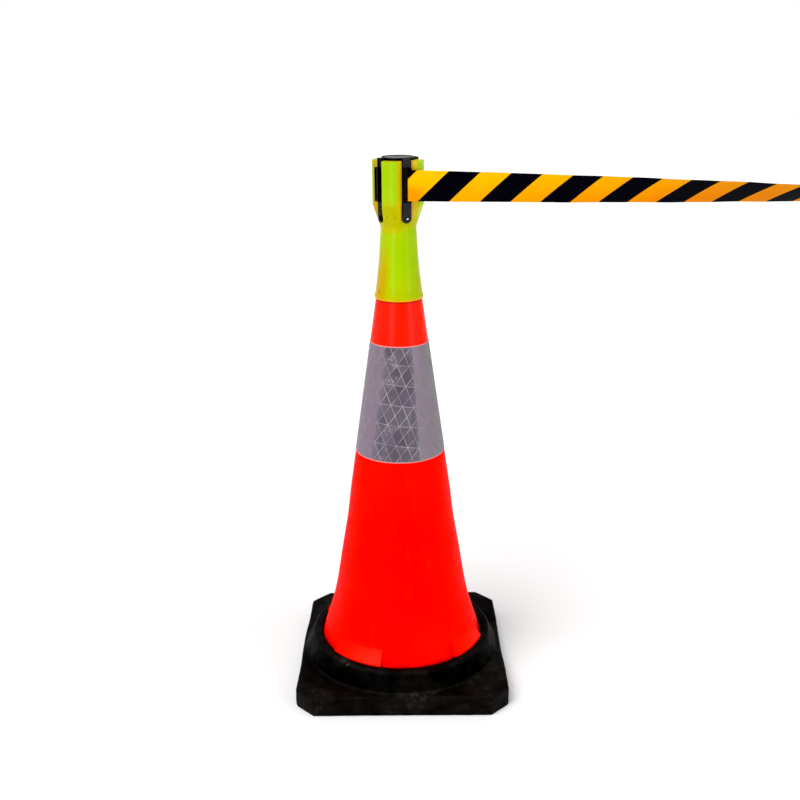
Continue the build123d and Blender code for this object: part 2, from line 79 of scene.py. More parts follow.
def at(radius, azimuth):
    a = math.radians(azimuth)
    return np.array([radius * math.sin(a), -radius * math.cos(a), 0.0])


N_ARM = at(1.0, ARM_AZ)
LEAD_R = ROLL_R + 0.00035 + BELT_T / 2
LEAD_AZ0 = ARM_AZ - math.degrees(math.acos(LEAD_R / 0.038))
LEAD_T = at(LEAD_R, LEAD_AZ0)
D1 = at(1.0, LEAD_AZ0 + 90)
M1 = at(1.0, LEAD_AZ0 + 180)
D2 = np.array([math.cos(RUN_BACK), math.sin(RUN_BACK), 0.0])
M2 = np.array([-math.sin(RUN_BACK), math.cos(RUN_BACK), 0.0])
S_BEND = (0.0396 - N_ARM @ LEAD_T) / (N_ARM @ D1)
BEND_V = LEAD_T + D1 * S_BEND
TURN = math.radians(90) + RUN_BACK - math.radians(LEAD_AZ0 + 90)
BEND_LEN = LIP_BEND_R * math.tan(TURN / 2)
BEND_C = BEND_V - D1 * BEND_LEN + M1 * LIP_BEND_R
RUN_0 = BEND_V + D2 * BEND_LEN
Z_UP = np.array([0.0, 0.0, 1.0])


def run_point(s):
    return RUN_0 + D2 * s + Z_UP * (BELT_Z - (s - RUN_START) * math.tan(RUN_DROP))


def smooth(x, lo, hi):
    t = np.clip((np.asarray(x, float) - lo) / (hi - lo), 0.0, 1.0)
    return t * t * (3 - 2 * t)


def webbing_profile():
    """(across, half thickness) from the lower edge to the upper one, with rolled selvedges."""
    h = BELT_W / 2
    edge = [(0.0, 0.0), (0.00006, 0.00016), (0.00022, 0.00027), (0.0005, 0.00034),
            (0.0009, 0.00036), (0.0013, 0.00034), (0.0017, 0.00028), (0.0021, 0.00025)]
    rows = [(-h + e, t) for e, t in edge]
    rows += [(v, 0.00025) for v in np.linspace(-h + 0.004, h - 0.004, 19)]
    rows += [(h - e, t) for e, t in reversed(edge)]
    return rows


def strip(name, stations):
    """A closed woven strip. stations: (centre, up, facing, distance along the belt)."""
    rows = webbing_profile()
    n = len(rows)
    ring = [(v, t) for v, t in rows] + [(v, -t) for v, t in rows[-2:0:-1]]
    m = len(ring)
    co = np.zeros((len(stations), m, 3))
    uv = np.zeros((len(stations), m, 2))
    for k, (c, up, facing, s) in enumerate(stations):
        for i, (v, t) in enumerate(ring):
            co[k, i] = c + up * v + facing * t
            uv[k, i] = (s, v)
    faces = []
    for k in range(len(stations) - 1):
        for i in range(m):
            j = (i + 1) % m
            faces.append((k * m + i, (k + 1) * m + i, (k + 1) * m + j, k * m + j))
    last = (len(stations) - 1) * m
    for base, flip in ((0, False), (last, True)):
        for i in range(n - 1):
            a, b = i, i + 1
            c, d = (m - b) % m, (m - a) % m
            if i == 0:
                f = (base + a, base + b, base + c)
            elif b == n - 1:
                f = (base + a, base + b, base + d)
            else:
                f = (base + a, base + b, base + c, base + d)
            faces.append(tuple(reversed(f)) if flip else f)
    mesh = bpy.data.meshes.new(name)
    mesh.from_pydata(co.reshape(-1, 3).tolist(), [], faces)
    flat = uv.reshape(-1, 2)
    layer = mesh.uv_layers.new(name="web")
    index = np.zeros(len(mesh.loops), np.int32)
    mesh.loops.foreach_get("vertex_index", index)
    # webbing coordinates in tenths of a metre
    layer.data.foreach_set("uv", (flat[index] * 10.0).astype(np.float32).ravel())
    mesh.polygons.foreach_set("use_smooth", np.ones(len(mesh.polygons), bool))
    bm = bmesh.new()
    bm.from_mesh(mesh)
    bmesh.ops.recalc_face_normals(bm, faces=bm.faces)
    bm.to_mesh(mesh)
    bm.free()
    obj = bpy.data.objects.new(name, mesh)
    SCENE.collection.objects.link(obj)
    return obj


def spline_points(control):
    """Points read from a NURBS spline with those control points."""
    curve = bpy.data.curves.new("route", "CURVE")
    curve.dimensions = "3D"
    curve.resolution_u = 64
    spl = curve.splines.new("NURBS")
    spl.points.add(len(control) - 1)
    for p, c in zip(spl.points, control):
        p.co = (*c, 1.0)
    spl.order_u = 3
    spl.use_endpoint_u = True
    obj = bpy.data.objects.new("route", curve)
    SCENE.collection.objects.link(obj)
    bpy.context.view_layer.update()
    mesh = bpy.data.meshes.new_from_object(obj.evaluated_get(bpy.context.evaluated_depsgraph_get()))
    pts = [np.array(v.co) for v in mesh.vertices]
    bpy.data.objects.remove(obj)
    bpy.data.meshes.remove(mesh)
    bpy.data.curves.remove(curve)
    return pts


INTO = CLIP_S - BEND_LEN
RUN_END = INTO + CLIP_IN - 0.0006


def make_belt():
    control = [run_point(s) for s in (RUN_START, 0.16, 0.42, RUN_END)]
    pts = spline_points(control)
    stations = []
    for p in pts:
        s = float((p - RUN_0 - Z_UP * p[2]) @ D2)
        fi = TWIST_RATE * min(s, INTO)
        up = Z_UP * math.cos(fi) - M2 * math.sin(fi)
        facing = -(M2 * math.cos(fi) + Z_UP * math.sin(fi))
        # the web is never quite flat: a slow flutter that dies out at both ends
        calm = float(smooth(s, 0.02, 0.12) * (1 - smooth(s, INTO - 0.10, INTO - 0.02)))
        flutter = 0.00045 * calm * (math.sin(s * 31.0) + 0.6 * math.sin(s * 73.0 + 1.0))
        stations.append((p + facing * flutter, up, facing, s))
    belt = strip("belt_web", stations)
    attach(belt, "topper")
    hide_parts("belt_run")
    # drawn right in, its end stays just inside the clip
    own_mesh(belt)
    return belt


def make_belt_lead():
    arc = LIP_BEND_R * TURN
    straight = S_BEND - BEND_LEN
    stations = []
    for k in range(15):
        t = k / 14
        s = -(arc + straight * (1 - t))
        stations.append((LEAD_T + D1 * straight * t + Z_UP * BELT_Z, Z_UP, -M1, s))
    steps = 14
    for k in range(1, steps + 1):
        a = TURN * k / steps
        out = -M1 * math.cos(a) + D1 * math.sin(a)
        stations.append((BEND_C + out * LIP_BEND_R + Z_UP * BELT_Z, Z_UP, out, -arc * (1 - k / steps)))
    stations.append((RUN_0 + D2 * RUN_START + Z_UP * BELT_Z, Z_UP, -M2, RUN_START))
    lead = strip("belt_lead_web", stations)
    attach(lead, "topper")
    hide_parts("belt_lead")
    return lead


belt_web = make_belt()
belt_lead_web = make_belt_lead()


# ------------------------------------------------------------ reflective collar
CONE_REF_Z, CONE_REF_R, CONE_SLOPE = 0.6077, 0.04826, 0.143
COLLAR_Z0, COLLAR_Z1 = 0.4157, 0.6077
SEAM_AZ = 29.0


def cone_r(z):
    return CONE_REF_R - CONE_SLOPE * (z - CONE_REF_Z)


def make_collar():
    """A sheet wrapped round the cone, its outer end lapped over the inner one."""
    sin_half = CONE_SLOPE / math.hypot(1.0, CONE_SLOPE)
    apex = CONE_REF_Z + CONE_REF_R / CONE_SLOPE
    lap = 0.30
    total = 2 * math.pi + lap
    cols = 300
    thick = 0.00042
    zs = [0.0, 0.00012, 0.0004, 0.0012, *np.linspace(0.004, 0.188, 24), 0.1908, 0.1916, 0.19188, 0.192]
    rows = len(zs)
    verts, uvs = [], []
    for i in range(cols + 1):
        a = i / cols * total
        az = math.radians(SEAM_AZ) - (total - a)
        lift = 0.00010 + 0.00050 * float(smooth(a, 2 * math.pi - 0.10, 2 * math.pi + 0.02))
        out, back = [], []
        for j, dz in enumerate(zs):
            z = COLLAR_Z0 + dz
            e = min(dz, 0.192 - dz)
            rim = min(1.0, math.sqrt(max(e, 0.0) / 0.0004))
            r_mid = cone_r(z) + lift + thick / 2
            for side, store in ((1, out), (-1, back)):
                r = r_mid + side * thick / 2 * max(rim, 0.15)
                store.append((r * math.sin(az), -r * math.cos(az), z))
        verts += out + back
        for dz in zs:
            z = COLLAR_Z0 + dz
            rho = (apex - z) * math.hypot(1.0, CONE_SLOPE)
            psi = az * sin_half
            uvs.append((rho * math.sin(psi), -rho * math.cos(psi) + (apex - 0.5117) * math.hypot(1.0, CONE_SLOPE)))
    m = rows * 2
    faces = []
    for i in range(cols):
        p, q = i * m, (i + 1) * m
        for j in range(rows - 1):
            faces.append((p + j, q + j, q + j + 1, p + j + 1))
            faces.append((p + rows + j, p + rows + j + 1, q + rows + j + 1, q + rows + j))
        faces.append((p, p + rows, q + rows, q))
        faces.append((p + rows - 1, q + rows - 1, q + 2 * rows - 1, p + 2 * rows - 1))
    for p in (0, cols * m):
        for j in range(rows - 1):
            faces.append((p + j, p + j + 1, p + rows + j + 1, p + rows + j))
    mesh = bpy.data.meshes.new("collar_sheet")
    mesh.from_pydata(verts, [], faces)
    layer = mesh.uv_layers.new(name="sheet")
    index = np.zeros(len(mesh.loops), np.int32)
    mesh.loops.foreach_get("vertex_index", index)
    flat = np.array(uvs).reshape(cols + 1, rows, 2)
    flat = np.concatenate([flat, flat], axis=1).reshape(-1, 2)
    layer.data.foreach_set("uv", (flat[index] * 10.0).astype(np.float32).ravel())
    bm = bmesh.new()
    bm.from_mesh(mesh)
    bmesh.ops.recalc_face_normals(bm, faces=bm.faces)
    bm.to_mesh(mesh)
    bm.free()
    mesh.polygons.foreach_set("use_smooth", np.ones(len(mesh.polygons), bool))
    obj = bpy.data.objects.new("collar_sheet", mesh)
    SCENE.collection.objects.link(obj)
    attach(obj, "stand")
    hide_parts("reflective_collar")
    return obj


collar_sheet = make_collar()


# ----------------------------------------------------------------- rubber base
def make_base():
    """The moulded rubber foot: soft arrises and the uneven skin of pressed crumb."""
    src = bpy.data.objects.new("base_source", NODES["rubber_base"].data.copy())
    SCENE.collection.objects.link(src)
    mod = src.modifiers.new("remesh", "REMESH")
    mod.mode = "VOXEL"
    mod.voxel_size = 0.0021
    mod.use_smooth_shade = True
    bpy.context.view_layer.update()
    mesh = bpy.data.meshes.new_from_object(src.evaluated_get(bpy.context.evaluated_depsgraph_get()))
    bpy.data.objects.remove(src)
    mesh.name = "base_moulding"
    count = len(mesh.vertices)
    bm = bmesh.new()
    bm.from_mesh(mesh)
    for _ in range(2):
        bmesh.ops.smooth_vert(bm, verts=bm.verts, factor=0.5, use_axis_x=True, use_axis_y=True, use_axis_z=True)
    bm.normal_update()
    # the plate came out of its mould a little out of square: how far each corner strays in x
    stray = {(-1, -1): -0.0015, (1, -1): 0.0032, (-1, 1): 0.0062, (1, 1): 0.0002}
    for v in bm.verts:
        p, n = v.co.copy(), v.normal
        slow = noise.noise(p * 21.0) * 0.0006 + noise.noise(p * 55.0 + Vector((3, 1, 2))) * 0.00030
        fine = noise.noise(p * 210.0 + Vector((7, 5, 1))) * 0.00013
        v.co = p + n * (slow + fine)
        fx, fy = (min(max(c / 0.18, -1.0), 1.0) for c in p[:2])
        outer = float(smooth(math.hypot(p.x, p.y), 0.168, 0.20))
        v.co.x += outer * sum(
            d * (1 + sx * fx) * (1 + sy * fy) / 4 for (sx, sy), d in stray.items()
        )
        v.co.y += outer * 0.0045 * float(smooth(p.y, 0.06, 0.18))
        if v.co.z < 0.0:
            v.co.z = 0.0
    bm.to_mesh(mesh)
    bm.free()
    mesh.polygons.foreach_set("use_smooth", np.ones(len(mesh.polygons), bool))
    mesh.materials.clear()
    obj = bpy.data.objects.new("base_moulding", mesh)
    SCENE.collection.objects.link(obj)
    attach(obj, "stand")
    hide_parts("rubber_base")
    return obj


base_moulding = make_base()


# ------------------------------------------------------------------- materials
class Mat:
    """Small helper for writing node materials."""

    def __init__(self, name):
        self.mat = bpy.data.materials.new(name)
        self.mat.use_nodes = True
        self.nt = self.mat.node_tree
        self.nt.nodes.clear()
        self.out = self.nt.nodes.new("ShaderNodeOutputMaterial")
        self.bsdf = self.nt.nodes.new("ShaderNodeBsdfPrincipled")
        self.nt.links.new(self.bsdf.outputs["BSDF"], self.out.inputs["Surface"])
        self._coord = None

    def put(self, socket, value):
        if isinstance(value, bpy.types.NodeSocket):
            self.nt.links.new(value, socket)
        elif hasattr(socket, "default_value"):
            if socket.type == "RGBA" and len(value) == 3:
                value = (*value, 1.0)
            socket.default_value = value

    def set(self, **values):
        for key, value in values.items():
            self.put(self.bsdf.inputs[key.replace("_", " ")], value)

    @property
    def co(self):
        if self._coord is None:
            self._coord = self.nt.nodes.new("ShaderNodeTexCoord")
        return self._coord.outputs["Object"]

    def uv(self, name):
        node = self.nt.nodes.new("ShaderNodeUVMap")
        node.uv_map = name
        return node.outputs["UV"]

    def math(self, op, a, b=None, c=None, clamp=False):
        node = self.nt.nodes.new("ShaderNodeMath")
        node.operation = op
        node.use_clamp = clamp
        for i, v in enumerate((a, b, c)):
            if v is not None:
                self.put(node.inputs[i], v)
        return node.outputs[0]

    def scale(self, vec, factors):
        node = self.nt.nodes.new("ShaderNodeVectorMath")
        node.operation = "MULTIPLY"
        self.put(node.inputs[0], vec)
        self.put(node.inputs[1], factors)
        return node.outputs[0]

    def shift(self, vec, offset):
        node = self.nt.nodes.new("ShaderNodeVectorMath")
        node.operation = "ADD"
        self.put(node.inputs[0], vec)
        self.put(node.inputs[1], offset)
        return node.outputs[0]

    def xyz(self, vec):
        node = self.nt.nodes.new("ShaderNodeSeparateXYZ")
        self.put(node.inputs[0], vec)
        return node.outputs[0], node.outputs[1], node.outputs[2]

    def combine(self, x, y, z):
        node = self.nt.nodes.new("ShaderNodeCombineXYZ")
        for i, v in enumerate((x, y, z)):
            self.put(node.inputs[i], v)
        return node.outputs[0]

    def noise(self, vec, scale, detail=3.0, rough=0.5, distort=0.0):
        node = self.nt.nodes.new("ShaderNodeTexNoise")
        node.noise_dimensions = "3D"
        self.put(node.inputs["Vector"], vec)
        self.put(node.inputs["Scale"], scale)
        self.put(node.inputs["Detail"], detail)
        self.put(node.inputs["Roughness"], rough)
        self.put(node.inputs["Distortion"], distort)
        return node.outputs[0]

    def voronoi(self, vec, scale, feature="F1", output="Distance"):
        node = self.nt.nodes.new("ShaderNodeTexVoronoi")
        node.feature = feature
        self.put(node.inputs["Vector"], vec)
        self.put(node.inputs["Scale"], scale)
        return node.outputs[output]

    def white(self, vec):
        node = self.nt.nodes.new("ShaderNodeTexWhiteNoise")
        node.noise_dimensions = "3D"
        self.put(node.inputs["Vector"], vec)
        return node.outputs["Value"]

    def ramp(self, x, lo, hi, a=0.0, b=1.0, kind="SMOOTHSTEP"):
        node = self.nt.nodes.new("ShaderNodeMapRange")
        node.interpolation_type = kind
        node.clamp = True
        self.put(node.inputs["Value"], x)
        self.put(node.inputs["From Min"], lo)
        self.put(node.inputs["From Max"], hi)
        self.put(node.inputs["To Min"], a)
        self.put(node.inputs["To Max"], b)
        return node.outputs["Result"]

    def mix(self, fac, a, b, blend="MIX"):
        node = self.nt.nodes.new("ShaderNodeMix")
        node.data_type = "RGBA"
        node.blend_type = blend
        self.put(node.inputs[0], fac)
        self.put(node.inputs[6], a)
        self.put(node.inputs[7], b)
        return node.outputs[2]

    def bump(self, height, strength, distance, normal=None):
        node = self.nt.nodes.new("ShaderNodeBump")
        self.put(node.inputs["Strength"], strength)
        self.put(node.inputs["Distance"], distance)
        self.put(node.inputs["Height"], height)
        if normal is not None:
            self.put(node.inputs["Normal"], normal)
        return node.outputs["Normal"]


def cone_material():
    m = Mat("cone_pvc")
    x, y, z = m.xyz(m.co)
    drift = m.noise(m.co, 5.0, 3.0)
    col = m.mix(m.ramp(drift, 0.3, 0.7), (0.90, 0.0030, 0.0002), (0.95, 0.0048, 0.0005))
    # painted sheen: the neck is painted a shade lighter than the flare, for the highlights it catches
    col = m.mix(m.ramp(z, 0.36, 0.62, 0.0, 0.8), col, (1.0, 0.0105, 0.0006))
    # flow streaks of the moulding, running up the cone
    streak = m.noise(m.scale(m.co, (70.0, 70.0, 2.2)), 1.0, 4.0, 0.6)
    col = m.mix(m.ramp(streak, 0.55, 0.8, 0.0, 0.30), col, (1.0, 0.016, 0.004))
    # chalky rubs low down, where stacked cones slide over each other
    foot = m.ramp(z, 0.26, 0.085)
    rub = m.noise(m.scale(m.co, (46.0, 46.0, 15.0)), 1.0, 7.0, 0.65, 0.3)
    rubbed = m.math("MULTIPLY", m.ramp(rub, 0.62, 0.80), m.math("MULTIPLY", foot, 0.14))
    col = m.mix(rubbed, col, (0.93, 0.08, 0.05))
    # painted light: the lugs' up-facing faces are painted paler than the flare, broken up by a rub noise
    slope = m.xyz(m._coord.outputs["Normal"])[2]
    lug_painted_light = m.math("MULTIPLY", m.ramp(slope, 0.36, 0.46), m.math("MULTIPLY", m.ramp(z, 0.070, 0.0712), m.ramp(z, 0.0975, 0.0960)))
    turn = m.math("ARCTAN2", x, m.math("MULTIPLY", y, -1.0))
    along = m.math("MODULO", m.math("ADD", turn, 2 * math.pi + math.radians(56.7)), math.pi / 2)
    # painted light: paler towards one end of each lug, where its face turns to the light, and towards its foot
    worn = m.math("MULTIPLY", m.ramp(along, 0.12, math.radians(36.0), 0.10, 1.0), m.ramp(z, 0.0965, 0.080, 0.45, 1.0))
    lug_painted_light = m.math("MULTIPLY", m.math("MULTIPLY", lug_painted_light, worn), m.ramp(rub, 0.25, 0.65, 0.6, 1.0))
    col = m.mix(lug_painted_light, col, (0.96, 0.019, 0.010))
    # painted shadow: a dark ring on the neck just under the lip of the head's skirt
    under_lip_shadow = m.math("MULTIPLY", m.ramp(z, 0.6735, 0.6785), m.ramp(z, 0.690, 0.684))
    col = m.mix(m.math("MULTIPLY", under_lip_shadow, 0.75), col, (0.36, 0.009, 0.002))
    # darker at the foot, where the cone meets the ring, in noisy patches
    foot_darkening = m.math("MULTIPLY", m.ramp(z, 0.076, 0.066), m.ramp(m.noise(m.co, 40.0, 5.0), 0.40, 0.65, 0.0, 0.6))
    col = m.mix(foot_darkening, col, (0.18, 0.010, 0.004))
    m.set(Base_Color=col)
    smear = m.noise(m.co, 24.0, 4.0, 0.6)
    m.set(Roughness=m.math("ADD", m.ramp(smear, 0.3, 0.7, 0.48, 0.60), m.math("SUBTRACT", m.math("MULTIPLY", rubbed, 0.5), m.ramp(z, 0.40, 0.62, 0.0, 0.29))))
    m.bsdf.inputs["Specular IOR Level"].default_value = 0.022
    # the neck is polished by heads and stacked cones that slide over it
    m.set(Coat_Weight=m.math("MULTIPLY", m.ramp(z, 0.600, 0.612), m.ramp(smear, 0.3, 0.7, 0.034, 0.048)))
    m.bsdf.inputs["Coat Roughness"].default_value = 0.33
    m.bsdf.inputs["Coat IOR"].default_value = 2.5
    peel = m.noise(m.co, 620.0, 2.0)
    slow = m.noise(m.co, 13.0, 2.0)
    nor = m.bump(slow, 0.25, 0.0012)
    m.set(Normal=m.bump(peel, 0.10, 0.00008, nor))
    return m.mat


def lime_material():
    m = Mat("lime_plastic")
    x, y, z = m.xyz(m.co)
    r = m.math("SQRT", m.math("ADD", m.math("MULTIPLY", x, x), m.math("MULTIPLY", y, y)))
    drift = m.noise(m.co, 26.0, 3.0)
    col = m.mix(m.ramp(drift, 0.3, 0.7), (0.292, 0.478, 0.0008), (0.336, 0.512, 0.0025))
    # painted bounce light: the taper under the lobes is painted yellower, and the skirt's flanks and lower skirt
    # amber, for light thrown up from the red cone
    patch = m.noise(m.scale(m.co, (30.0, 30.0, 14.0)), 1.0, 3.0)
    turn = m.math("ARCTAN2", x, m.math("MULTIPLY", y, -1.0))
    bow = m.math("SUBTRACT", z, m.ramp(turn, -0.10, 0.50, 0.0, 0.0085))
    neck = m.math("MULTIPLY", m.ramp(z, 0.848, 0.826), m.ramp(bow, 0.7840, 0.7915))
    left = m.math("MULTIPLY", m.ramp(turn, -0.34, -0.78), m.ramp(turn, -2.3, -1.5))
    left = m.math("MULTIPLY", left, m.ramp(z, 0.796, 0.716))
    right = m.math("MULTIPLY", m.ramp(turn, 0.50, 1.05), m.ramp(turn, 2.5, 1.7))
    right = m.math("MULTIPLY", right, m.ramp(z, 0.744, 0.700, 0.0, 0.40))
    low = m.math("MULTIPLY", m.ramp(z, 0.730, 0.690, 0.0, 0.34), m.ramp(patch, 0.30, 0.55))
    taper_painted_bounce = m.math("MULTIPLY", neck, m.ramp(patch, 0.25, 0.60, 0.75, 1.0))
    col = m.mix(taper_painted_bounce, col, (0.445, 0.412, 0.0004))
    # the lobe on the outlet's far side is a shade paler
    col = m.mix(m.math("MULTIPLY", m.ramp(turn, 0.80, 1.05), m.math("MULTIPLY", m.ramp(turn, 1.9, 1.6), m.ramp(z, 0.800, 0.825, 0.0, 0.8))), col, (0.430, 0.640, 0.004))
    # painted bounce light on the skirt's flanks and lower skirt
    flank_painted_bounce = m.math("MAXIMUM", m.math("MAXIMUM", left, right), low)
    col = m.mix(m.math("MULTIPLY", flank_painted_bounce, m.ramp(patch, 0.22, 0.55, 0.70, 1.0)), col, (0.480, 0.300, 0.0006))
    # painted reflection: the lip's lower edge is painted orange for the red cone's bounce light
    col = m.mix(m.ramp(z, 0.6836, 0.6814, 0.0, 0.85), col, (0.760, 0.330, 0.0030))
    # painted light and shade: the grooves beside the arms are painted amber, for light passing through the thin walls
    # and shade in the recesses
    facing = m.nt.nodes.new("ShaderNodeVectorMath")
    facing.operation = "DOT_PRODUCT"
    m.put(facing.inputs[0], m._coord.outputs["Normal"])
    m.put(facing.inputs[1], m.combine(m.math("DIVIDE", x, r), m.math("DIVIDE", y, r), 0.0))
    wall = m.ramp(m.math("ABSOLUTE", facing.outputs["Value"]), 0.86, 0.40)
    upright = m.ramp(m.math("ABSOLUTE", m.xyz(m._coord.outputs["Normal"])[2]), 0.7, 0.4)
    groove = m.math("MULTIPLY", m.math("MULTIPLY", wall, upright), m.ramp(z, 0.800, 0.815))
    deep = m.math("MULTIPLY", m.ramp(r, 0.0400, 0.0335), m.ramp(z, 0.828, 0.838))
    edge = m.math("MAXIMUM", groove, deep)
    # the walls that face away from the outlet's lobe are deeper in shade
    shade = m.math("MAXIMUM", m.ramp(turn, -0.30, -0.62), m.ramp(turn, 0.30, 0.62, 0.0, 0.55))
    col = m.mix(m.math("MULTIPLY", edge, 0.85), col, m.mix(shade, (0.560, 0.345, 0.0020), (0.370, 0.225, 0.0060)))
    m.set(Base_Color=col)
    # painted glow: the groove walls emit amber light, standing in for light passed through the fluorescent wall
    painted_glow = m.mix(shade, (0.90, 0.52, 0.020), (0.44, 0.30, 0.020))
    m.set(Emission_Color=m.mix(edge, (0.0, 0.0, 0.0), painted_glow))
    m.bsdf.inputs["Emission Strength"].default_value = 0.30
    smear = m.noise(m.co, 60.0, 4.0, 0.6)
    m.set(Roughness=m.ramp(smear, 0.3, 0.7, 0.17, 0.25))
    m.bsdf.inputs["Specular IOR Level"].default_value = 0.07
    peel = m.noise(m.co, 1100.0, 2.0)
    slow = m.noise(m.scale(m.co, (40.0, 40.0, 12.0)), 1.0, 2.0)
    m.set(Normal=m.bump(peel, 0.06, 0.00005, m.bump(slow, 0.10, 0.0006)))
    return m.mat


def rubber_material(name="base_rubber", dusty=True):
    m = Mat(name)
    x, y, z = m.xyz(m.co)
    blot = m.noise(m.co, 17.0, 6.0, 0.62, 0.4)
    col = m.mix(m.ramp(blot, 0.36, 0.68), (0.0012, 0.0012, 0.0012), (0.0034, 0.0032, 0.0029))
    if dusty:
        r = m.math("SQRT", m.math("ADD", m.math("MULTIPLY", x, x), m.math("MULTIPLY", y, y)))
        fine = m.noise(m.co, 120.0, 5.0, 0.6)
        dust = m.math("MULTIPLY", m.ramp(blot, 0.50, 0.72), m.ramp(fine, 0.42, 0.66))
        # dust lies on the plate and the top of the ring; the ring's wall is kept dark and clean as painted shade
        wall = m.math("MULTIPLY", m.math("MULTIPLY", m.ramp(z, 0.037, 0.041), m.ramp(z, 0.069, 0.063)), m.ramp(r, 0.150, 0.156))
        dust_off_shaded_wall = m.math("SUBTRACT", 1.0, m.math("MULTIPLY", wall, 0.9))
        film = m.math("MULTIPLY", m.ramp(blot, 0.34, 0.62, 0.25, 0.60), dust_off_shaded_wall)
        col = m.mix(film, col, (0.0088, 0.0082, 0.0073))
        col = m.mix(m.math("MULTIPLY", m.math("MULTIPLY", dust, dust_off_shaded_wall), 0.60), col, (0.034, 0.031, 0.026))
        # stray crumb and grit
        d = m.voronoi(m.co, 95.0)
        spot = m.math("MULTIPLY", m.ramp(d, 0.12, 0.06), m.math("GREATER_THAN", m.noise(m.co, 38.0, 2.0), 0.66))
        col = m.mix(m.math("MULTIPLY", spot, 0.7), col, (0.20, 0.19, 0.17))
    m.set(Base_Color=col)
    m.set(Roughness=m.ramp(m.noise(m.co, 45.0, 4.0), 0.3, 0.7, 0.50, 0.72))
    m.bsdf.inputs["Specular IOR Level"].default_value = 0.04
    crumb = m.noise(m.co, 420.0, 4.0, 0.6)
    m.set(Normal=m.bump(crumb, 0.40, 0.0005))
    return m.mat


